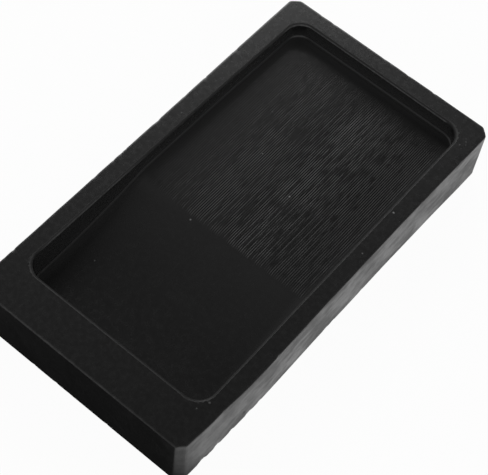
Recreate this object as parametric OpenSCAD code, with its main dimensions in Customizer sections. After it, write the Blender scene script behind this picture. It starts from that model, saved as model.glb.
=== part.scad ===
// A rectangular ink stone, carved from one block of dark slate.
// The well has a flat grinding land at +Y and a deeper ink pool at -Y.
// The origin is the middle of the underside, with +Z up out of the well.

/* [Slab] */
// Length of the slab, from the pool end to the grinding end
slab_l = 150; // [120:1:230]
// Width of the slab
slab_w = 80; // [64:1:130]
// Thickness of the slab
slab_h = 21; // [17:0.5:32]
// Flat taken off each upright corner, measured along the sides
corner_cut = 2.6; // [0.5:0.1:5]
// Bevel round the top face's outer edge
top_bevel = 0.5; // [0.2:0.1:1.5]
// Bevel round the underside's edge
base_bevel = 0.7; // [0.2:0.1:1.5]

/* [Rim] */
// Rim beside the well on the -X side
rim_left = 6.3; // [4:0.1:12]
// Rim beside the well on the +X side
rim_right = 6.1; // [4:0.1:12]
// Rim behind the grinding land
rim_far = 6.5; // [4:0.1:12]
// Rim in front of the pool
rim_near = 14.3; // [6:0.1:20]
// Bevel round the mouth of the well
mouth_bevel = 0.4; // [0.1:0.1:1]

/* [Well] */
// Radius of the well's upright corners
well_r = 6; // [3:0.5:12]
// Radius between the well's walls and its floor
floor_r = 0.9; // [0.4:0.1:2]
// Depth of the grinding land below the rim
land_depth = 6; // [4.5:0.1:8]
// Distance of the land's lower edge from the pool end
land_edge = 66; // [50:1:90]
// Depth of the pool below the rim
pool_depth = 12.2; // [9:0.1:13]

/* [Smoothness] */
// Segments of a full circle
round_steps = 96; // [48:8:160]

/* [Hidden] */
$fn = round_steps;
// Length by which a cutter runs past the face that it opens
clear = 1;
cut_top = slab_h + clear;
// The well's walls
wall_left = -slab_w / 2 + rim_left;
wall_right = slab_w / 2 - rim_right;
wall_near = -slab_l / 2 + rim_near;
wall_far = slab_l / 2 - rim_far;
well_w = wall_right - wall_left;
well_l = wall_far - wall_near;
well_x = (wall_left + wall_right) / 2;
well_y = (wall_near + wall_far) / 2;
// Levels of the two floors
land_z = slab_h - land_depth;
pool_z = slab_h - pool_depth;
// The pool's floor is level as far as its corners reach, then rises to the land on one arc
rise_start = wall_near + well_r;
rise_run = -slab_l / 2 + land_edge - rise_start;
rise_drop = pool_depth - land_depth;
rise_r = (rise_run * rise_run + rise_drop * rise_drop) / (2 * rise_drop);

// A square bar with its edges up, down and sideways, which cuts a bevel of width b along Y
module bevel_bar(b, l) {
    rotate([0, 45, 0]) cube([b * sqrt(2), l, b * sqrt(2)], center = true);
}

// The slab's outline, with a flat across each corner
module slab_outline() {
    x = slab_w / 2;
    y = slab_l / 2;
    c = corner_cut;
    polygon([
        [-x + c, -y], [x - c, -y], [x, -y + c], [x, y - c],
        [x - c, y], [-x + c, y], [-x, y - c], [-x, -y + c]
    ]);
}

// Bevels along every outer edge at height z
module edge_bevels(z, b) {
    reach = slab_l + slab_w;
    for (side = [-1, 1]) {
        translate([side * slab_w / 2, 0, z]) bevel_bar(b, reach);
        translate([0, side * slab_l / 2, z]) rotate([0, 0, 90]) bevel_bar(b, reach);
        for (end = [-1, 1])
            translate([side * (slab_w - corner_cut) / 2, end * (slab_l - corner_cut) / 2, z])
                rotate([0, 0, side * end * 45]) bevel_bar(b, reach);
    }
}

// Sawn block before the well is cut
module blank() {
    difference() {
        linear_extrude(slab_h) slab_outline();
        edge_bevels(slab_h, top_bevel);
        edge_bevels(0, base_bevel);
    }
}

// Section of a well of half width w above a floor at z, with rounded lower edges
module pan_section(w, z) {
    translate([-w, z + floor_r]) square([2 * w, cut_top - z - floor_r]);
    translate([-w + floor_r, z]) square([2 * (w - floor_r), floor_r * 2]);
    for (side = [-1, 1])
        translate([side * (w - floor_r), z + floor_r]) circle(floor_r);
}

// One rounded corner of a pan
module pan_corner(z) {
    rotate_extrude() {
        translate([0, z]) square([well_r - floor_r, cut_top - z]);
        translate([0, z + floor_r]) square([well_r, cut_top - z - floor_r]);
        translate([well_r - floor_r, z + floor_r]) circle(floor_r);
    }
}

// The whole mouth of the well carried down to a level floor at z
module pan(z) {
    straight_w = well_w - 2 * well_r;
    straight_l = well_l - 2 * well_r;
    translate([well_x, well_y, 0]) {
        translate([0, straight_l / 2, 0]) rotate([90, 0, 0])
            linear_extrude(straight_l) pan_section(well_w / 2, z);
        translate([-straight_w / 2, 0, 0]) rotate([90, 0, 90])
            linear_extrude(straight_w) pan_section(well_l / 2, z);
        for (side = [-1, 1], end = [-1, 1])
            translate([side * straight_w / 2, end * straight_l / 2, 0]) pan_corner(z);
    }
}

// The slope from the pool up to the land: a slice of a wide wheel with rounded edges
module rise() {
    half = well_w / 2;
    intersection() {
        translate([well_x, rise_start, pool_z + rise_r]) rotate([0, 90, 0]) rotate_extrude() {
            translate([0, -half]) square([rise_r - floor_r, well_w]);
            translate([0, -half + floor_r]) square([rise_r, well_w - 2 * floor_r]);
            for (side = [-1, 1])
                translate([rise_r - floor_r, side * (half - floor_r)]) circle(floor_r);
        }
        translate([wall_left - clear, rise_start, 0])
            cube([well_w + 2 * clear, rise_run + 2 * floor_r, cut_top]);
    }
}

// The pool's level floor, with the rounded corners at its near end
module pool() {
    intersection() {
        pan(pool_z);
        translate([wall_left - clear, wall_near - clear, 0])
            cube([well_w + 2 * clear, well_r + clear, cut_top]);
    }
}

// Bevel round the mouth of the well
module mouth_bevels() {
    straight_w = well_w - 2 * well_r;
    straight_l = well_l - 2 * well_r;
    translate([well_x, well_y, slab_h]) {
        for (side = [-1, 1]) {
            translate([side * well_w / 2, 0, 0]) bevel_bar(mouth_bevel, straight_l);
            translate([0, side * well_l / 2, 0]) rotate([0, 0, 90])
                bevel_bar(mouth_bevel, straight_w);
            for (end = [-1, 1])
                translate([side * straight_w / 2, end * straight_l / 2, -mouth_bevel])
                    cylinder(h = 2 * mouth_bevel, r1 = well_r, r2 = well_r + 2 * mouth_bevel);
        }
    }
}

// The finished stone
module ink_stone() {
    color([0.13, 0.13, 0.135]) difference() {
        blank();
        pan(land_z);
        rise();
        pool();
        mouth_bevels();
    }
}

ink_stone();
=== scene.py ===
import math
import random

import bmesh
import bpy
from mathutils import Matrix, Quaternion, Vector, kdtree, noise


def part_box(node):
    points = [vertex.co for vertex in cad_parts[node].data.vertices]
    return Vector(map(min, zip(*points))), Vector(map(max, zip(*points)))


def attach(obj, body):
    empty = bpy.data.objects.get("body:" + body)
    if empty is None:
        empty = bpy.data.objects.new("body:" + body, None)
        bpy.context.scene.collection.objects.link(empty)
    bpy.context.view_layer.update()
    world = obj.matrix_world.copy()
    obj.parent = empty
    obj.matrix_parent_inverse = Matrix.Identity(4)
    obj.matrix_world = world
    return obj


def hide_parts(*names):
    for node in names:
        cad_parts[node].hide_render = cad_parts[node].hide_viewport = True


# An ink stone carved from one block of black slate, on a pale floor.
# Lengths are metres in the part's own frame: +Y from the ink pool to the grinding land, +Z up.

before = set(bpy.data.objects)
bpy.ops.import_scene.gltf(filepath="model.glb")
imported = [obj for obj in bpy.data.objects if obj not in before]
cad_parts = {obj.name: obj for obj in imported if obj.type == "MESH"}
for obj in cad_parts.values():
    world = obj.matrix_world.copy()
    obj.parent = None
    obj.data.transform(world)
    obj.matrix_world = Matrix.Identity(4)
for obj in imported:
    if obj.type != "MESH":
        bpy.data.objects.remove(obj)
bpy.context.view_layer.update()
mm = 0.001
acrossX, alongY, upZ = 0, 1, 2

blockLow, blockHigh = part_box("ink_stone")
blockSize = blockHigh - blockLow
print("frame loaded, block", [round(v / mm, 1) for v in blockSize], "mm")


# Small tools for meshes

samePlace = 1e-6         # what lies nearer than this is in one place
planeSlack = 1e-7        # a cut this near to a vertex goes through it

# how far a face's normal leans to +Z, for telling faces apart
flatLean = 0.99
topLean = 0.9
sideLean = 0.3


def axisVector(axis):
    v = Vector((0, 0, 0))
    v[axis] = 1
    return v


def centre(face):
    return face.calc_center_median()


def evenPlaces(low, high, step):
    # places from low to high, evenly spaced at about one step
    count = max(1, round((high - low) / step))
    return [low + (high - low) * i / count for i in range(count + 1)]


def sliceAlong(bm, faces, axis, places):
    normal = axisVector(axis)
    ahead = list(faces)
    for place in sorted(places):
        geom = set(ahead)
        for f in ahead:
            geom.update(f.edges)
            geom.update(f.verts)
        cut = bmesh.ops.bisect_plane(bm, geom=list(geom), dist=planeSlack,
                                     plane_co=normal * place, plane_no=normal)
        # only what lies beyond this plane can meet the next one
        ahead = [g for g in cut["geom"] if isinstance(g, bmesh.types.BMFace)
                 and max(v.co[axis] for v in g.verts) > place + samePlace]


def roundEdges(bm, edges, width, segments):
    bmesh.ops.bevel(bm, geom=edges, offset=width, offset_type="OFFSET", segments=segments,
                    profile=0.5, affect="EDGES", material=-1)


def smoothStep(low, high, value):
    t = min(1, max(0, (value - low) / (high - low)))
    return t * t * (3 - 2 * t)


def along(value, stops):
    # a smooth curve through (place, height) stops
    for (a, low), (b, high) in zip(stops, stops[1:]):
        if value <= b:
            return low + (high - low) * smoothStep(a, b, value)
    return stops[-1][1]


def addObject(name, data):
    thing = bpy.data.objects.new(name, data)
    bpy.context.scene.collection.objects.link(thing)
    return thing


# The stone

stone = {
    "rimLeft": 6.3 * mm,
    "rimRight": 6.1 * mm,
    "rimFar": 6.5 * mm,
    "rimNear": 14.3 * mm,
    "wellCorner": 6 * mm,
    "landDepth": 6 * mm,
    "poolDepth": 12.2 * mm,
    "landEdge": 66 * mm,         # from the pool end
    "landEdgeSoft": 1.5 * mm,    # half length of the eased brow of the slope
    "cornerCut": 2.6 * mm,
    "cornerEase": 0.5 * mm,      # rounds the two arrises that each cut leaves
    "topEdge": 0.35 * mm,
    "baseEdge": 0.7 * mm,
    "mouthEdge": 0.7 * mm,
    "floorFillet": 0.65 * mm,
    "cornerSegments": 10,
    "edgeSegments": 3,
    "filletSegments": 5,
    "cell": 0.8 * mm,
    "wornCell": 0.4 * mm,        # along the chipped run of the right side
    "underCell": 3 * mm,
    "holdGap": 0.12 * mm,        # narrow strip that keeps a flat face flat beside a rounded edge
    "lineClear": 0.35,           # share of a step between a strip's line and the next even cut
}

wallLeft = blockLow.x + stone["rimLeft"]
wallRight = blockHigh.x - stone["rimRight"]
wallNear = blockLow.y + stone["rimNear"]
wallFar = blockHigh.y - stone["rimFar"]
wellMiddle = (wallLeft + wallRight) / 2
landZ = blockHigh.z - stone["landDepth"]
landEdgeY = blockLow.y + stone["landEdge"]
riseStartY = wallNear + stone["wellCorner"]
riseRun = landEdgeY - riseStartY
riseDrop = stone["poolDepth"] - stone["landDepth"]
riseRadius = (riseRun ** 2 + riseDrop ** 2) / (2 * riseDrop)

toolLines = {
    "count": 96,                 # from wall to wall, which makes them 0.7 mm apart
    "cellsPerLine": 4,
    "depth": 0.045 * mm,
    "crestPower": 4,             # how narrow the painted glint on the crests is
    "rowLength": 1.5 * mm,
    "start": landEdgeY - 1.3 * mm,
    "startReach": 2 * mm,        # no line starts further before that
    "startWave": (0.5 * mm, 9 * mm, 2.2),    # depth, size and seed of the front's unevenness
    "startFade": 0.6 * mm,
    "fadeStart": wallFar - 14 * mm,
    "end": wallFar - 3 * mm,
    "wallGap": 1.6 * mm,
    "wallFade": 1.2 * mm,
    # how hard the tool bit, from the left wall to the right one
    "sideShare": [(-32 * mm, 0.05), (-25 * mm, 0.2), (-19 * mm, 0.42), (-14 * mm, 0.64), (0, 0.66),
                  (4 * mm, 1), (12 * mm, 1), (20 * mm, 0.68), (26 * mm, 0.5), (33 * mm, 0.75)],
    # how grey the land was scoured, likewise; less towards the right, a painted shade against the sheen
    # that falls there
    "greyAndShadeShare": [(-33 * mm, 1), (-20 * mm, 0.95), (-8 * mm, 0.85), (6 * mm, 0.5), (24 * mm, 0.25),
                  (33 * mm, 0.5)],
    # how softly the land's look ends over the slope, likewise
    "browBlur": [(-30 * mm, 5 * mm), (-12 * mm, 3 * mm), (4 * mm, 1 * mm)],
    "plainStrength": 0.68,
    "weakest": 0.04,
    # each line, short groups of strokes and broad patches: how much they vary, and their seeds
    "lineVaries": 0.5,
    "lineStep": 0.83,            # from one line's noise to the next one's
    "lineSeed": 3.7,
    "groupVaries": 1.5,
    "groupStep": 0.77,
    "groupLength": 4 * mm,
    "groupSeed": 8.1,
    "patchVaries": 0.5,
    "patchSize": (12 * mm, 18 * mm),
    "patchSeed": 5.5,
}
linePitch = (wallRight - wallLeft) / toolLines["count"]


def poolDrop(y):
    # how far the well's floor lies below the land, on the same arc as the solid's
    if y >= landEdgeY:
        return 0
    if y <= riseStartY:
        return riseDrop
    return riseDrop - riseRadius + math.sqrt(riseRadius ** 2 - (y - riseStartY) ** 2)


def softDrop(y):
    # the same, with the brow at the land's edge eased by hand honing
    ease = stone["landEdgeSoft"]
    return (poolDrop(y - ease) + 2 * poolDrop(y) + poolDrop(y + ease)) / 4


def inWell(p, slack=0.01 * mm):
    return (wallLeft - slack < p.x < wallRight + slack and wallNear - slack < p.y < wallFar + slack
            and p.z > landZ - riseDrop - mm)


def wallGap(p):
    # how far a point lies from the nearest wall of the well
    return min(p.x - wallLeft, wallRight - p.x, p.y - wallNear, wallFar - p.y)


def sideGap(p):
    # how far it lies inside the block's outline, with the cut corners
    inX = min(p.x - blockLow.x, blockHigh.x - p.x)
    inY = min(p.y - blockLow.y, blockHigh.y - p.y)
    cutSlant = 0.7           # about the sine of 45 degrees
    return min(inX, inY, (inX + inY - stone["cornerCut"]) * cutSlant)


def insideMouth(p):
    # how far it lies inside the well's rounded outline, seen from above
    radius = stone["wellCorner"]
    fromX = min(p.x - wallLeft, wallRight - p.x) - radius
    fromY = min(p.y - wallNear, wallFar - p.y) - radius
    if fromX > 0 or fromY > 0:
        return min(fromX, fromY) + radius
    return radius - math.hypot(fromX, fromY)


def isOuter(v):
    # on the outside of the block, not in the well
    return min(v.co.x - blockLow.x, blockHigh.x - v.co.x,
               v.co.y - blockLow.y, blockHigh.y - v.co.y) < stone["rimRight"] / 2


def cornerEdges(bm, outer):
    # the upright edges at the corners of the outside or of the well
    def standsAtCorner(a, b):
        return (abs(a.co.z - b.co.z) > stone["landDepth"] / 2
                and abs(a.co.x - wellMiddle) > stone["rimLeft"])

    return [e for e in bm.edges if standsAtCorner(*e.verts) and isOuter(e.verts[0]) == outer]


def rimEdges(bm, z, outer):
    # the edges at one height between a flat face and one that stands up
    def joinsFlat(e):
        leans = sorted(abs(f.normal.z) for f in e.link_faces)
        return len(leans) == 2 and leans[0] < sideLean and leans[1] > topLean

    return [e for e in bm.edges if all(abs(v.co.z - z) < samePlace for v in e.verts)
            and joinsFlat(e) and isOuter(e.verts[0]) == outer]


def carveBlock(bm):
    bmesh.ops.create_cube(bm, size=1)
    bmesh.ops.scale(bm, vec=blockSize, verts=bm.verts)
    bmesh.ops.translate(bm, vec=(blockLow + blockHigh) / 2, verts=bm.verts)

    # the rim: inset the top face, then bring each edge of the mouth to its own wall
    top = max(bm.faces, key=lambda f: centre(f).z)
    bmesh.ops.inset_region(bm, faces=[top], thickness=stone["rimLeft"], use_even_offset=True)
    inner = list(top.verts)
    for v in inner:
        v.co.x = wallLeft if v.co.x < 0 else wallRight
        v.co.y = wallNear if v.co.y < 0 else wallFar
    # two halves in place of four mitres, so that the mouth's corners are free to be rounded
    mitres = [e for e in bm.edges if len(set(e.verts) & set(inner)) == 1]
    bmesh.ops.bisect_plane(bm, geom=[*bm.verts, *bm.edges, *bm.faces], dist=planeSlack,
                           plane_co=(wellMiddle, 0, 0), plane_no=(1, 0, 0))
    bmesh.ops.dissolve_edges(bm, edges=mitres, use_verts=False)

    # the well
    mouth = [f for f in bm.faces if f.normal.z > topLean
             and all(wallNear - samePlace < v.co.y < wallFar + samePlace for v in f.verts)]
    sunk = bmesh.ops.extrude_face_region(bm, geom=mouth)
    bmesh.ops.delete(bm, geom=mouth, context="FACES")
    low = [g for g in sunk["geom"] if isinstance(g, bmesh.types.BMVert)]
    bmesh.ops.translate(bm, vec=(0, 0, -stone["landDepth"]), verts=low)
    bm.normal_update()

    # corners, then edges
    segments = stone["edgeSegments"]
    roundEdges(bm, cornerEdges(bm, False), stone["wellCorner"], stone["cornerSegments"])
    roundEdges(bm, cornerEdges(bm, True), stone["cornerCut"], 1)
    roundEdges(bm, cornerEdges(bm, True), stone["cornerEase"], segments)
    roundEdges(bm, rimEdges(bm, blockHigh.z, True), stone["topEdge"], segments)
    roundEdges(bm, rimEdges(bm, blockLow.z, True), stone["baseEdge"], segments)
    roundEdges(bm, rimEdges(bm, blockHigh.z, False), stone["mouthEdge"], segments)
    roundEdges(bm, rimEdges(bm, landZ, False), stone["floorFillet"], stone["filletSegments"])
    bm.normal_update()


def spread(low, high, step, lines):
    # even places that leave out those too near to a line, with the lines themselves
    clear = step * stone["lineClear"]
    even = [p for p in evenPlaces(low, high, step) if all(abs(p - k) > clear for k in lines)]
    return sorted(even + lines)


def underFaces(bm):
    return [f for f in bm.faces if f.normal.z < -flatLean]


def floorFaces(bm):
    return [f for f in bm.faces if f.normal.z > flatLean and centre(f).z < landZ + mm]


def otherFaces(bm):
    return [f for f in bm.faces if abs(f.normal.z) < flatLean or centre(f).z > landZ + mm]


def gradeMesh(bm):
    # small cells for the ground faces, long narrow ones for the land's tool lines
    hold = stone["holdGap"]
    cell = stone["cell"]
    fillet = stone["floorFillet"]
    edge = stone["baseEdge"] + hold
    lip = stone["mouthEdge"] + hold
    linesX = [blockLow.x + edge, wallLeft - lip, wallRight + lip, blockHigh.x - edge]
    linesY = [blockLow.y + edge, wallNear - lip, wallFar + lip, blockHigh.y - edge]
    wornLow, wornHigh = worn["chippedRun"]
    sliceAlong(bm, otherFaces(bm), acrossX, spread(blockLow.x, blockHigh.x, cell, linesX))
    sliceAlong(bm, otherFaces(bm), alongY, spread(blockLow.y, wornLow, cell, linesY[:1])
               + evenPlaces(wornLow, wornHigh, stone["wornCell"])[1:-1]
               + spread(wornHigh, blockHigh.y, cell, linesY[2:]))

    floorX = [wallLeft + fillet + hold, wallRight - fillet - hold]
    floorY = [wallNear + fillet + hold, wallFar - fillet - hold]
    lineStart = toolLines["start"] - toolLines["rowLength"] / 2
    lineCell = linePitch / toolLines["cellsPerLine"]
    sliceAlong(bm, floorFaces(bm), alongY, spread(wallNear, lineStart, cell, floorY[:1]))
    pool = [f for f in floorFaces(bm) if centre(f).y < lineStart]
    land = [f for f in floorFaces(bm) if centre(f).y > lineStart]
    sliceAlong(bm, pool, acrossX, spread(wallLeft, wallRight, cell, floorX))
    sliceAlong(bm, land, acrossX, spread(wallLeft, wallRight, lineCell, floorX))
    land = [f for f in floorFaces(bm) if centre(f).y > lineStart]
    sliceAlong(bm, land, alongY, spread(lineStart, wallFar, toolLines["rowLength"], floorY[1:]))

    for axis in (acrossX, alongY):
        sliceAlong(bm, underFaces(bm), axis,
                   evenPlaces(blockLow[axis], blockHigh[axis], stone["underCell"]))

    # a row on the walls just above the floor's rounding, carried down with the floor
    walls = [f for f in bm.faces if abs(f.normal.z) < sideLean and inWell(centre(f))]
    sliceAlong(bm, walls, upZ, [landZ + fillet + hold])
    lowerPool(bm)
    bm.normal_update()
    sideways = [f for f in bm.faces if abs(f.normal.z) < sideLean]
    sliceAlong(bm, sideways, upZ, spread(blockLow.z, blockHigh.z, cell,
                                         [blockLow.z + edge, blockHigh.z - edge]))


def lowerPool(bm):
    lowRow = landZ + stone["floorFillet"] + stone["holdGap"]
    highRow = blockHigh.z - stone["mouthEdge"]
    for v in bm.verts:
        if inWell(v.co) and landZ - mm < v.co.z < highRow:
            share = min(1, (highRow - v.co.z) / (highRow - lowRow))
            v.co.z -= softDrop(v.co.y) * share


# Hand grinding, chips and tool lines

worn = {
    "chippedRun": (-70 * mm, -28 * mm),
    # how far each long side, and each long wall of the well, stands to the right of a straight line
    "rightSide": [(-75 * mm, 0.1 * mm), (-60 * mm, 0.44 * mm), (-42 * mm, 0.6 * mm), (0, 0.07 * mm),
                  (25 * mm, -0.1 * mm), (45 * mm, -0.02 * mm), (68 * mm, 0.23 * mm)],
    "leftSide": [(-70 * mm, 0.04 * mm), (0, -0.05 * mm), (60 * mm, -0.34 * mm)],
    "rightWall": [(-52 * mm, 0.42 * mm), (0, 0.0), (62 * mm, -0.36 * mm)],
    "leftWall": [(-52 * mm, -0.17 * mm), (0, 0.0), (20 * mm, 0.02 * mm), (62 * mm, 0.42 * mm)],
    # and what the right side's lean adds at the top edge
    "rightLean": [(-75 * mm, -0.85 * mm), (-60 * mm, -0.45 * mm), (-45 * mm, 0)],
    "sideHold": 0.8 * mm,        # a side moves as a whole this far in
    "floorReach": 14 * mm,       # how far over the floor a wall's shift dies away
    # depth, size and seed of the hollows in the ground faces
    "sideSwell": (0.11 * mm, 9 * mm, 1),
    "sideGrain": (0.035 * mm, 2.2 * mm, 2),
    "topSwell": (0.02 * mm, 22 * mm, 3),
    "floorSwell": (0.02 * mm, 14 * mm, 4),
    "seedShift": (7.3, -3.1, 1.7),
    # where those of the sides and of the floor fade out
    "sideFade": (0.3 * mm, 1.2 * mm),
    "baseFade": 1.2 * mm,
    "topSkin": 0.6 * mm,
    "floorFade": (0.3 * mm, 2 * mm),
    "chipSeed": 7,
    "chipCount": 46,
    "chipReach": (0.7 * mm, 1.7 * mm),
    "chipDepth": (0.06 * mm, 0.28 * mm),
    "chipTopShare": 0.6,         # the rest are in the base edges
    "chipRun": 0.48,             # of a side's length, either way from its middle
    "chipPlunge": 2,             # how much steeper than towards the block's middle
    "chipShare": 0.7,
    "chipVaries": 0.6,
    "chipGrain": 0.6 * mm,
    # place in mm, reach and depth of the larger ones
    "bigChips": [((40, -33, 21), 1.7 * mm, 0.42 * mm), ((39.9, -47, 4.8), 1.3 * mm, 0.5 * mm),
                 ((40, -65, 0.3), 2.4 * mm, 0.5 * mm), ((40, -58.5, 0.2), 1.8 * mm, 0.45 * mm),
                 ((40, -52, 0.2), 1.6 * mm, 0.4 * mm), ((40, -44, 0.2), 2.2 * mm, 0.35 * mm),
                 ((40, -39, 0.2), 1.4 * mm, 0.3 * mm)],
}


def swell(p, kind):
    # noise between 0 and 1 times the depth
    depth, size, seed = kind
    shiftX, shiftY, shiftZ = worn["seedShift"]
    place = Vector((p.x / size + seed * shiftX, p.y / size + seed * shiftY, p.z / size + seed * shiftZ))
    return depth * (0.5 + 0.5 * noise.noise(place))


def lineStrength(x, y):
    # strong and weak lines, broken into short groups where the tool skipped over the stone
    number = math.floor((x - wallLeft) / linePitch + 0.5)
    patchX, patchY = toolLines["patchSize"]
    line = noise.noise(Vector((number * toolLines["lineStep"], toolLines["lineSeed"], 0)))
    group = noise.noise(Vector((number * toolLines["groupStep"], y / toolLines["groupLength"],
                                toolLines["groupSeed"])))
    patch = noise.noise(Vector((x / patchX, y / patchY, toolLines["patchSeed"])))
    strength = (toolLines["plainStrength"] + toolLines["lineVaries"] * line
                + toolLines["groupVaries"] * group + toolLines["patchVaries"] * patch)
    return along(x, toolLines["sideShare"]) * min(1, max(toolLines["weakest"], strength))


def browY(x):
    # the uneven front where the lines end above the slope
    depth, size, seed = toolLines["startWave"]
    return toolLines["start"] + depth * noise.noise(Vector((x / size, 0, seed)))


def lineFade(x, y):
    brow = browY(x)
    soft = toolLines["startFade"]
    nearWall = toolLines["wallGap"]
    gap = min(x - wallLeft, wallRight - x)
    farEnd = 1 - smoothStep(toolLines["fadeStart"], toolLines["end"], y)
    return (smoothStep(brow - soft, brow + soft, y) * farEnd
            * smoothStep(nearWall, nearWall + toolLines["wallFade"], gap))


def skew(p):
    # hand work: the long sides bow a little and the well narrows towards its far end
    hold = worn["sideHold"]
    reach = worn["floorReach"]
    rightOut = smoothStep(wallRight + mm, blockHigh.x - hold, p.x)
    leftOut = 1 - smoothStep(blockLow.x + hold, wallLeft - mm, p.x)
    rightIn = smoothStep(wallRight - reach, wallRight - mm, p.x) * (1 - rightOut)
    leftIn = (1 - smoothStep(wallLeft + mm, wallLeft + reach, p.x)) * (1 - leftOut)
    rightSide = along(p.y, worn["rightSide"]) + along(p.y, worn["rightLean"]) * p.z / blockSize.z
    return (rightSide * rightOut + along(p.y, worn["leftSide"]) * leftOut
            + along(p.y, worn["rightWall"]) * rightIn + along(p.y, worn["leftWall"]) * leftIn)


def wearStone(bm):
    groove = bm.verts.layers.float.new("groove")
    ridge = bm.verts.layers.float.new("ridge")
    for v in bm.verts:
        p = v.co.copy()
        move = Vector((0, 0, 0))
        onSide = 1 - smoothStep(*worn["sideFade"], sideGap(p))
        onSide *= smoothStep(0, worn["baseFade"], p.z)
        if onSide > 0:
            away = Vector((v.normal.x, v.normal.y, 0))
            depth = swell(p, worn["sideSwell"]) + swell(p, worn["sideGrain"])
            move -= away * depth * onSide
        move.x += skew(p)
        if p.z > blockHigh.z - worn["topSkin"]:
            move.z -= swell(p, worn["topSwell"])
        elif inWell(p):
            gap = wallGap(p)
            onFloor = smoothStep(*worn["floorFade"], gap)
            move.z -= swell(p, worn["floorSwell"]) * onFloor
            if gap > toolLines["wallGap"] and p.y > toolLines["start"] - toolLines["startReach"]:
                turn = (p.x - wallLeft) / linePitch * 2 * math.pi
                strength = lineStrength(p.x, p.y) * lineFade(p.x, p.y)
                v[groove] = strength * (0.5 - 0.5 * math.cos(turn))
                # painted glint: the crests of the tool lines
                v[ridge] = strength * (0.5 + 0.5 * math.cos(turn)) ** toolLines["crestPower"]
                move.z -= toolLines["depth"] * v[groove]
        v.co = p + move


def chipEdges(bm):
    dice = random.Random(worn["chipSeed"])
    chips = [(Vector(place) * mm, reach, depth) for place, reach, depth in worn["bigChips"]]
    for _ in range(worn["chipCount"]):
        top = dice.random() < worn["chipTopShare"]
        side = dice.choice((0, 1, 2, 3))
        run = dice.uniform(-worn["chipRun"], worn["chipRun"])
        place = Vector((run * blockSize.x, run * blockSize.y, blockHigh.z if top else blockLow.z))
        axis = acrossX if side < 2 else alongY
        place[axis] = blockLow[axis] if side % 2 else blockHigh[axis]
        chips.append((place, dice.uniform(*worn["chipReach"]), dice.uniform(*worn["chipDepth"])))
    bm.verts.ensure_lookup_table()
    tree = kdtree.KDTree(len(bm.verts))
    for v in bm.verts:
        tree.insert(v.co, v.index)
    tree.balance()
    middle = (blockLow + blockHigh) / 2
    for place, reach, depth in chips:
        # into the block from the faces that meet at the chipped edge
        inward = Vector((middle.x - place.x if abs(place.x) > blockHigh.x - mm else 0,
                         middle.y - place.y if abs(place.y) > blockHigh.y - mm else 0,
                         (middle.z - place.z) * worn["chipPlunge"])).normalized()
        for co, index, distance in tree.find_range(place, reach):
            away = distance / reach
            rough = worn["chipShare"] + worn["chipVaries"] * noise.noise(co / worn["chipGrain"])
            bm.verts[index].co += inward * depth * rough * (1 - away * away) ** 2


# Masks that the material reads

painted = {
    # two numbers: where a fade starts and where it ends
    "sides": (0.1 * mm, 0.5 * mm),           # the ground sides, in from the outline
    "top": (0.5 * mm, 0.1 * mm),             # the rim, down from the top face
    "handled": (-110 * mm, 60 * mm),         # painted sheen, strongest at the far left
    "rimSheenSlant": 1.2,
    "mouthReach": 2 * mm,
    "mouthSlack": 0.01 * mm,
    "mouthSoft": 0.1 * mm,
    "dullNear": (-1 * mm, 5 * mm),           # the mouth's edge is dull at its near end
    "dullRight": (3 * mm, 1 * mm),           # and less so along the right wall
    "dullRightShare": 0.45,
    # where the mouth's sharp lower edge is painted pale, partly wear and partly a painted highlight,
    # along the length
    "mouthWearAndHighlight": [(-56 * mm, 0.0), (-48 * mm, 0.8), (-22 * mm, 0.8), (-2 * mm, 0.1), (58 * mm, 0.2),
                  (66 * mm, 1.0)],
    # how pale the pool end's top edge is painted, partly wear and partly a painted highlight, from its
    # middle to the right
    "endWearAndHighlight": [(0, 0.3), (35 * mm, 0.1)],
    "landRise": (0.2 * mm, 0.8 * mm),        # up the walls
    "foot": (1 * mm, 4.5 * mm),              # out from the foot of the walls, and up
    "wallOut": (0.2 * mm, 0.5 * mm),         # out from the walls
    "wallTop": (0.9 * mm, 0.4 * mm),         # down from the top face
    # the groove left by the cutter where the walls meet the floor, rougher and with painted shade, out
    # and up, in fillet radii
    "tooledOut": (0.5, 1.6),
    "tooledUp": (0.6, 1.8),
}


def paintOutside(v, mask):
    p = v.co
    topLow, topHigh = painted["top"]
    v[mask["ground"]] = 1 - smoothStep(*painted["sides"], sideGap(p))
    onTop = smoothStep(blockHigh.z - topLow, blockHigh.z - topHigh, p.z)
    # painted sheen: the top is painted paler towards its far left corner
    v[mask["handled"]] = onTop * smoothStep(*painted["handled"], p.y - painted["rimSheenSlant"] * p.x)
    # pale wear and a painted highlight along the pool end's top edge
    if p.z > blockHigh.z - stone["topEdge"] and p.y < blockLow.y + stone["topEdge"]:
        v[mask["arris"]] = along(p.x, painted["endWearAndHighlight"])


def paintMouth(v, mask):
    p = v.co
    soft = painted["mouthSoft"]
    nearLow, nearHigh = painted["dullNear"]
    rightLow, rightHigh = painted["dullRight"]
    inside = insideMouth(p)
    nearEnd = 1 - smoothStep(wallNear + nearLow, wallNear + nearHigh, p.y)
    rightEnd = smoothStep(wallRight - rightLow, wallRight - rightHigh, p.x)
    v[mask["lip"]] = smoothStep(-soft, soft, inside + stone["mouthEdge"])
    v[mask["dull"]] = v[mask["lip"]] * max(nearEnd, rightEnd * painted["dullRightShare"])
    # pale wear and a painted highlight along the mouth's lower edge
    if inside > -soft and p.x < wallRight - stone["wellCorner"]:
        v[mask["arris"]] = along(p.y, painted["mouthWearAndHighlight"])


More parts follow.
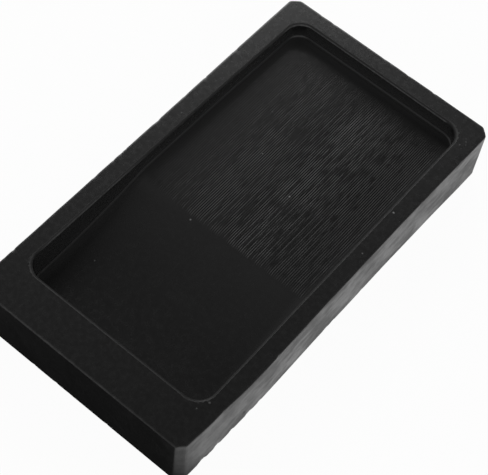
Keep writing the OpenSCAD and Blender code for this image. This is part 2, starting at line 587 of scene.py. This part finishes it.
def paintWell(v, mask):
    p = v.co
    gap = wallGap(p)
    up = p.z - (landZ - softDrop(p.y))
    brow = browY(p.x)
    blur = along(p.x, toolLines["browBlur"])
    wallLow, wallHigh = painted["wallTop"]
    fillet = stone["floorFillet"]
    v[mask["land"]] = (smoothStep(brow - blur, brow + blur, p.y)
                       * (1 - smoothStep(*painted["landRise"], up)))
    # the land's grey, with painted shade towards the right
    v[mask["scoured"]] = v[mask["land"]] * along(p.x, toolLines["greyAndShadeShare"])
    # painted light: a pale band along the foot of the walls, against their shade
    v[mask["foot"]] = 1 - smoothStep(*painted["foot"], max(gap, up))
    # the rounded foot of the walls: rougher, and painted dark as shade that dims its highlight
    v[mask["tooled"]] = ((1 - smoothStep(*painted["tooledOut"], gap / fillet))
                         * (1 - smoothStep(*painted["tooledUp"], up / fillet)))
    v[mask["wall"]] = ((1 - smoothStep(*painted["wallOut"], gap))
                       * (1 - smoothStep(blockHigh.z - wallLow, blockHigh.z - wallHigh, p.z)))


def paintMasks(bm):
    names = ("ground", "tooled", "land", "scoured", "wall", "lip", "handled", "arris", "dull", "foot")
    mask = {name: bm.verts.layers.float.new(name) for name in names}
    mouthZ = blockHigh.z - stone["mouthEdge"] - painted["mouthSlack"]
    for v in bm.verts:
        paintOutside(v, mask)
        if v.co.z > mouthZ and inWell(v.co, painted["mouthReach"]):
            paintMouth(v, mask)
        if inWell(v.co):
            paintWell(v, mask)


def makeStone():
    bm = bmesh.new()
    carveBlock(bm)
    print("block carved:", len(bm.faces), "faces")
    gradeMesh(bm)
    bm.normal_update()
    print("mesh graded:", len(bm.faces), "faces")
    # the masks go by the true faces, so they are painted before any wear
    paintMasks(bm)
    wearStone(bm)
    bm.verts.index_update()
    chipEdges(bm)
    print("masks painted, stone worn and chipped")
    for f in bm.faces:
        f.smooth = True
    bm.normal_update()
    mesh = bpy.data.meshes.new("carvedStone")
    bm.to_mesh(mesh)
    bm.free()
    piece = addObject("carvedStone", mesh)
    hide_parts("ink_stone")
    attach(piece, "root")
    return piece


carvedStone = makeStone()
print("stone made:", len(carvedStone.data.polygons), "faces")


# Materials

class Value:
    # one socket: arithmetic on it adds Math nodes
    def __init__(self, graph, socket):
        self.graph = graph
        self.socket = socket

    def maths(self, operation, a, b):
        return self.graph.add("Math", {"operation": operation}, {0: a, 1: b})

    def __add__(self, other):
        return self.maths("ADD", self, other)

    def __sub__(self, other):
        return self.maths("SUBTRACT", self, other)

    def __rsub__(self, other):
        return self.maths("SUBTRACT", other, self)

    def __mul__(self, other):
        return self.maths("MULTIPLY", self, other)

    __radd__ = __add__
    __rmul__ = __mul__


class Graph:
    # the nodes of a material or of the world
    def __init__(self, owner):
        owner.use_nodes = True
        self.tree = owner.node_tree
        self.tree.nodes.clear()

    def add(self, kind, settings=None, inputs=None, output=0):
        node = self.tree.nodes.new("ShaderNode" + kind)
        for name, value in (settings or {}).items():
            if name == "stops":
                while len(node.color_ramp.elements) < len(value):
                    node.color_ramp.elements.new(0.5)
                for element, (place, shade) in zip(node.color_ramp.elements, value):
                    element.position = place
                    element.color = (shade, shade, shade, 1)
            else:
                setattr(node, name, value)
        for name, value in (inputs or {}).items():
            if isinstance(value, Value):
                self.tree.links.new(value.socket, node.inputs[name])
            else:
                node.inputs[name].default_value = value
        return Value(self, node.outputs[output]) if node.outputs else None

    def cloud(self, size, detail, roughness, scale=(1, 1, 1), turn=(0, 0, 0), shift=(0, 0, 0)):
        # noise whose features are about one size across, turned by degrees
        spot = self.add("TexCoord", output="Object")
        place = self.add("Mapping", {}, {"Vector": spot, "Scale": scale, "Location": shift,
                                         "Rotation": [math.radians(angle) for angle in turn]})
        return self.add("TexNoise", {}, {"Vector": place, "Scale": 1 / size, "Detail": detail,
                                         "Roughness": roughness})

    def step(self, value, low, high, fromShade=0.0, toShade=1.0):
        return self.add("MapRange", {"interpolation_type": "SMOOTHSTEP"},
                        {"Value": value, "From Min": low, "From Max": high,
                         "To Min": fromShade, "To Max": toShade})

    def mask(self, name):
        return self.add("Attribute", {"attribute_name": name}, output="Fac")

    def mix(self, factor, a, b):
        return self.add("Mix", {"data_type": "RGBA"}, {0: factor, 6: a, 7: b}, output=2)


def grey(value, warmth=0.0):
    return (value * (1 + warmth), value, value * (1 - warmth), 1)


slate = {
    "base": 0.0055,
    "baseWarmth": 0.01,
    "pale": 0.0072,              # mottling in the waxed stone
    "rim": 0.0115,               # painted sheen: the rim painted paler towards its far left, where the light's sheen falls
    "walls": 0.019,              # the well's walls, paler than the waxed stone
    "lip": 0.003,                # the worn edge of the mouth
    "arris": 0.12,               # its sharpest line, and the pool end's top edge: pale wear and partly a painted highlight
    "ground": 0.003,             # the ground sides
    "groundPale": 0.007,
    "dust": 0.03,                # stone dust in scratches
    "foot": 0.028,               # painted light: paler along the foot of the walls, lifting the shade that the walls cast and mirror onto the floor
    "land": 0.0185,              # the grinding land, scoured greyer than the pool
    "lineCrestGlint": 0.13,           # the tool lines: crests painted pale as a painted glint, and floors where ink stays
    "lineFloor": 0.0,
    # how much of a colour shows in its mask, and what the mottling adds to that
    "rimCover": (0.85, 0.3),
    "lipCover": (0.4, 0.8),
    "arrisWearAndHighlightCover": (0.4, 0.6),
    "paintedFootLightCover": 0.7,
    "tooledShadeCover": 0.8,
    "sideDust": 0.6,
    "polishDust": 0.25,
    "waxRoughness": 0.26,
    "landRoughness": 0.19,
    "lipRoughness": 0.75,
    "sideRoughness": (0.33, 0.53),
    "tooledRougher": 0.4,
    "dullRougher": 0.25,
    "grainRougher": 0.05,        # and the fine mottling likewise
    # bump heights in mm
    "grainHeight": 0.0035,
    "landSmoother": 0.0025,
    "dustHeight": 0.004,
    # patterns: size, detail, roughness, then stretch, turn in degrees and shift
    "mottle": (9 * mm, 4, 0.6),
    "fineMottle": (1.6 * mm, 3, 0.6),
    "grain": (0.22 * mm, 2, 0.5),
    "sideScratch": (0.5 * mm, 2, 0.5, (1, 0.06, 1), (14, 0, 0)),
    "polishScratch": (0.45 * mm, 1, 0.5, (1, 0.05, 1), (0, 0, 3)),
    "streaks": (2.6 * mm, 3, 0.6, (1, 0.3, 1), (-9, 0, 0), (3, 1, 2)),
    "blots": (9 * mm, 4, 0.65, (1, 0.7, 1), (0, 0, 0), (7, 2, 5)),
    # where each pattern starts to show and where it is whole
    "mottleSpan": (0.35, 0.7),
    "fineSpan": (0.3, 0.75),
    "sideScratchSpan": (0.6, 0.72),
    "polishScratchSpan": (0.68, 0.78),
    "sideDullSpan": (0.36, 0.64),
    "mottleShare": 0.6,          # against the fine mottling
    "streakShare": 0.4,          # against the blots
    # pale mineral grains in the cut faces, and scuffs: x, y, z and radius in mm, and strength
    "specks": [(6.4, 15.1, 15, 0.32, 1.0), (-10, 21.9, 15, 0.24, 0.5), (-18.1, 36.8, 15, 0.22, 0.4),
               (-10.9, -11.9, 14.2, 0.3, 0.8), (-27.2, -21, 11.2, 0.2, 0.3),
               (-24.4, -40.3, 9.4, 0.22, 0.5), (35.5, 28.9, 21, 0.34, 1.0), (37.3, 10.7, 21, 0.3, 0.45),
               (-36.4, 12.8, 21, 0.24, 0.4), (35.2, -58, 21, 0.4, 0.3), (-33.7, -41.6, 21, 0.4, 0.9),
               (-33.4, 51, 21, 0.26, 0.5), (33.7, -61.8, 21, 0.26, 0.3), (36.6, 66.2, 21, 0.3, 0.25),
               (35.7, 63.9, 21, 0.28, 0.3), (37.2, 65.1, 21, 0.22, 0.25), (35.9, 67.2, 21, 0.2, 0.25),
               (36.9, 62.9, 21, 0.18, 0.2)],
    "speckShade": 0.25,
    "speckCore": 0.7,            # share of the radius inside which a speck is whole
    "speckBlur": 0.25,           # mm beyond it
    "speckEdge": (0.3 * mm, 1, 0.5),
    "speckWobble": 0.3,          # mm
}


def speckMask(g):
    # uneven little blots round each listed place
    wobble = g.cloud(*slate["speckEdge"]) * slate["speckWobble"] * mm
    spot = g.add("TexCoord", output="Object")
    mask = 0.0
    for x, y, z, radius, strength in slate["specks"]:
        away = g.add("VectorMath", {"operation": "DISTANCE"}, {0: spot, 1: (x * mm, y * mm, z * mm)},
                     output="Value")
        mask = mask + g.step(away + wobble, radius * slate["speckCore"] * mm,
                             (radius + slate["speckBlur"]) * mm, strength, 0.0)
    return mask


def patchy(mask, cover, pattern):
    least, added = cover
    return mask * (least + pattern * added)


def slateColour(g, ground, shade, fine, dust):
    waxed = g.mix(shade, grey(slate["base"], slate["baseWarmth"]), grey(slate["pale"]))
    sides = g.mix(shade, grey(slate["ground"]), grey(slate["groundPale"]))
    colour = g.mix(g.mask("wall"), g.mix(ground, waxed, sides), grey(slate["walls"]))
    # painted sheen on the rim, paler towards its far left
    colour = g.mix(patchy(g.mask("handled"), slate["rimCover"], shade), colour, grey(slate["rim"]))
    colour = g.mix(dust, colour, grey(slate["dust"]))
    # the scoured land's grey, less towards the right as painted shade
    colour = g.mix(g.mask("scoured"), colour, grey(slate["land"]))
    colour = g.mix(patchy(g.mask("lip"), slate["lipCover"], fine), colour, grey(slate["lip"]))
    # pale wear and a painted highlight on the mouth's lower edge and the pool end's top edge
    colour = g.mix(patchy(g.mask("arris"), slate["arrisWearAndHighlightCover"], fine), colour, grey(slate["arris"]))
    # painted light along the foot of the walls
    colour = g.mix(g.mask("foot") * slate["paintedFootLightCover"], colour, grey(slate["foot"]))
    # painted shade: the walls' rounded foot goes back to the plain dark colour
    colour = g.mix(g.mask("tooled") * slate["tooledShadeCover"], colour, grey(slate["base"]))
    # painted glint on the crests of the tool lines
    colour = g.mix(g.mask("ridge"), colour, grey(slate["lineCrestGlint"]))
    colour = g.mix(g.mask("groove"), colour, grey(slate["lineFloor"]))
    return g.mix(speckMask(g), colour, grey(slate["speckShade"]))


def slateRoughness(g, ground, fine, grain):
    wax = slate["waxRoughness"]
    streaks = g.cloud(*slate["streaks"]) * slate["streakShare"]
    blots = g.cloud(*slate["blots"]) * (1 - slate["streakShare"])
    dull = g.step(streaks + blots, *slate["sideDullSpan"], *slate["sideRoughness"])
    return (wax + (dull - wax) * ground + (slate["landRoughness"] - wax) * g.mask("land")
            + (slate["lipRoughness"] - wax) * g.mask("lip") + g.mask("dull") * slate["dullRougher"]
            + (fine - 0.5) * slate["grainRougher"] + (grain - 0.5) * slate["grainRougher"]
            + g.mask("tooled") * slate["tooledRougher"])


def makeSlate():
    material = bpy.data.materials.new("blackSlate")
    g = Graph(material)
    ground = g.mask("ground")

    mottle = g.step(g.cloud(*slate["mottle"]), *slate["mottleSpan"])
    fine = g.step(g.cloud(*slate["fineMottle"]), *slate["fineSpan"])
    grain = g.cloud(*slate["grain"])
    shade = mottle * slate["mottleShare"] + fine * (1 - slate["mottleShare"])

    # long scratches of the grinding on the sides, short ones in the polish
    sideScratch = g.step(g.cloud(*slate["sideScratch"]), *slate["sideScratchSpan"])
    polishScratch = g.step(g.cloud(*slate["polishScratch"]), *slate["polishScratchSpan"])
    dust = sideScratch * ground * slate["sideDust"] + polishScratch * (1 - ground) * slate["polishDust"]

    height = (grain * (slate["grainHeight"] - g.mask("land") * slate["landSmoother"])
              + dust * slate["dustHeight"])
    bump = g.add("Bump", {}, {"Strength": 1.0, "Distance": mm, "Height": height}, output="Normal")
    shader = g.add("BsdfPrincipled", {}, {"Base Color": slateColour(g, ground, shade, fine, dust),
                                          "Roughness": slateRoughness(g, ground, fine, grain),
                                          "IOR": 1.5, "Normal": bump})
    g.add("OutputMaterial", {}, {"Surface": shader})
    return material


carvedStone.data.materials.append(makeSlate())
print("slate made")


# Floor, light and camera

studio = {
    "floorSize": 6.0,
    "floorGap": 0.05 * mm,
    "floorShade": 0.9,
    "floorGlow": 0.96,              # share of plain white that the camera sees in the floor
    "mirrorGlow": 0.9,              # and that shows in the stone's gloss
    "frontShade": 0.0,              # but the floor in front of the pool end is painted dark there, a painted shade that the near face mirrors
    "frontEdgeX": (35 * mm, 51 * mm),
    "frontEdgeY": (-75 * mm, -58 * mm),
    "frontGaps": 4,                 # floor gaps that a ray is longer than where it shows dark
    "dimSide": (-0.30, 0.50, 0.81),
    "skyStops": [(0.0, 0.7), (0.45, 0.7), (0.65, 0.5), (0.8, 0.42), (0.918, 0.30), (0.972, 0.16),
                 (0.99, 0.10), (1.0, 0.09)],
    "keyFrom": (-1.08, 1.28, 0.68),
    "keySize": 1.5,
    "keyPower": 23.0,
}


def makeFloor():
    bm = bmesh.new()
    bmesh.ops.create_grid(bm, x_segments=1, y_segments=1, size=studio["floorSize"])
    bmesh.ops.translate(bm, vec=(0, 0, -studio["floorGap"]), verts=bm.verts)
    mesh = bpy.data.meshes.new("paleFloor")
    bm.to_mesh(mesh)
    bm.free()
    floor = addObject("paleFloor", mesh)
    material = bpy.data.materials.new("paleFloor")
    g = Graph(material)
    matte = g.add("BsdfDiffuse", {}, {"Color": grey(studio["floorShade"])})
    clear = g.add("BsdfTransparent")
    seen = g.add("LightPath", output="Is Camera Ray")
    mirrored = g.add("LightPath", output="Is Glossy Ray")
    across = g.add("SeparateXYZ", {}, {0: g.add("TexCoord", output="Object")}, output="X")
    back = g.add("SeparateXYZ", {}, {0: g.add("TexCoord", output="Object")}, output="Y")
    # painted shade: the floor in front of the pool end, dark in the stone's gloss only
    front = (1 - g.step(across, *studio["frontEdgeX"])) * (1 - g.step(back, *studio["frontEdgeY"]))
    # the underside lies too close to the floor to see that
    far = g.add("Math", {"operation": "GREATER_THAN"},
                {0: g.add("LightPath", output="Ray Length"), 1: studio["frontGaps"] * studio["floorGap"]})
    shade = g.mix(front * far * mirrored, grey(1.0), grey(studio["frontShade"]))
    white = g.add("Emission", {}, {"Color": shade, "Strength": 1.0})
    glow = seen * studio["floorGlow"] + mirrored * studio["mirrorGlow"]
    fromBelow = g.add("NewGeometry", output="Backfacing")
    shown = g.add("MixShader", {}, {0: glow, 1: matte, 2: white})
    g.add("OutputMaterial", {}, {"Surface": g.add("MixShader", {}, {0: fromBelow, 1: shown, 2: clear})})
    mesh.materials.append(material)


def makeSky():
    # dim above the far end, which the top faces mirror, and paler all round
    world = bpy.data.worlds.new("studioSky")
    bpy.context.scene.world = world
    g = Graph(world)
    direction = g.add("TexCoord", output="Generated")
    toDim = g.add("VectorMath", {"operation": "DOT_PRODUCT"},
                  {0: direction, 1: studio["dimSide"]}, output="Value")
    sky = g.add("ValToRGB", {"stops": studio["skyStops"]}, {"Fac": (toDim + 1) * 0.5})
    seen = g.add("LightPath", output="Is Camera Ray")
    shade = g.mix(seen, sky, grey(1.0))
    g.add("OutputWorld", {}, {"Surface": g.add("Background", {}, {"Color": shade, "Strength": 1.0})})


def makeKey():
    light = bpy.data.lights.new("softKey", "AREA")
    light.shape = "DISK"
    light.size = studio["keySize"]
    light.energy = studio["keyPower"]
    key = addObject("softKey", light)
    key.location = studio["keyFrom"]
    key.rotation_euler = (-Vector(studio["keyFrom"])).to_track_quat("-Z", "Y").to_euler()


view = {
    "aim": Vector((7.49, -9.31, 21.0)) * mm,
    "from": Vector((138.93, -225.68, 422.78)) * mm,
    "roll": math.radians(9.854),
    "lens": 116.834,
    "sensor": 36.0,
    "nearest": 0.01,
    "furthest": 50,
}


def makeCamera():
    data = bpy.data.cameras.new("camera")
    data.lens = view["lens"]
    data.sensor_width = view["sensor"]
    data.clip_start = view["nearest"]
    data.clip_end = view["furthest"]
    camera = addObject("camera", data)
    camera.location = view["from"]
    level = (view["aim"] - view["from"]).to_track_quat("-Z", "Y")
    camera.rotation_euler = (level @ Quaternion((0, 0, 1), view["roll"])).to_euler()
    bpy.context.scene.camera = camera


makeFloor()
makeSky()
makeKey()
makeCamera()
bpy.context.scene.view_settings.view_transform = "Standard"
print("studio set up")
